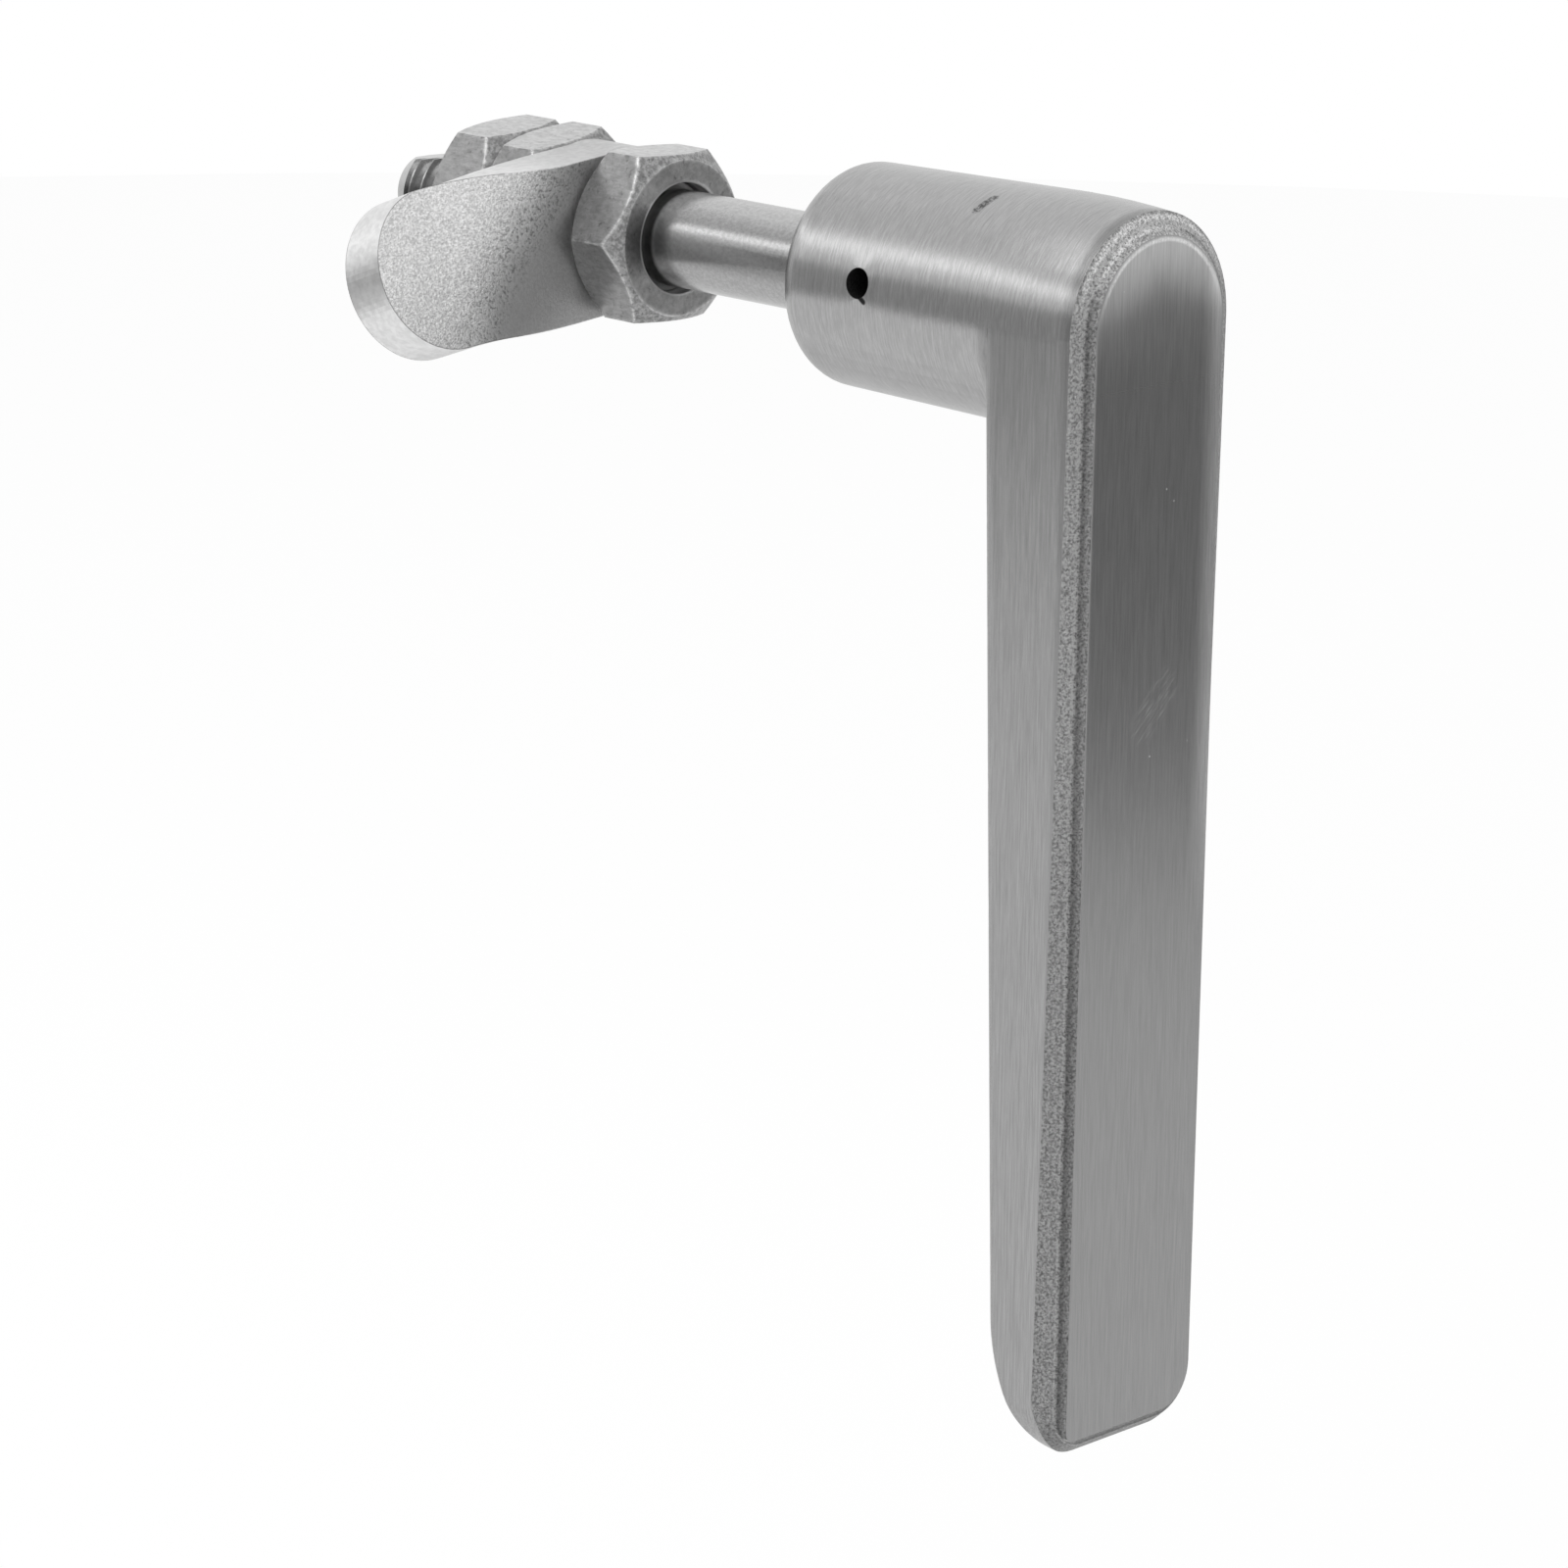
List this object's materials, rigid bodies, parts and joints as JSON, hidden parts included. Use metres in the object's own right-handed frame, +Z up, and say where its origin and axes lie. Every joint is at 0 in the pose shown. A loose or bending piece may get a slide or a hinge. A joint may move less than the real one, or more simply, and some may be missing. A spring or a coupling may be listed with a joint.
{
  "type": "wood stove door handle",
  "caption": "Cast lever door handle for a wood stove: boss on a threaded spindle, twisted latch tongue clamped between hexagon jam nuts, lever hanging down.",
  "frame": {"origin": "spindle axis where it leaves the boss, in the plane of the boss's back face that stands against the door", "axes": "+Y along the spindle into the stove, +Z up with the lever hanging down, -X the way the latch tongue points"},
  "size_m": [0.0501, 0.1166, 0.1386],
  "materials": {
    "lever_metal": "brushed, rough as cast on the band around the front panel",
    "spindle_metal": "turned",
    "pin_metal": "dark spring steel",
    "nut_metal": "plain, worn bright on the edges",
    "tongue_metal": "blasted"
  },
  "bodies": {
    "root": {"lever_handle": "lever_metal", "spindle": "spindle_metal", "roll_pin": "pin_metal", "front_jam_nut": "nut_metal", "inner_jam_nut": "nut_metal", "outer_jam_nut": "nut_metal", "latch_tongue": "tongue_metal"}
  },
  "joints": []
}
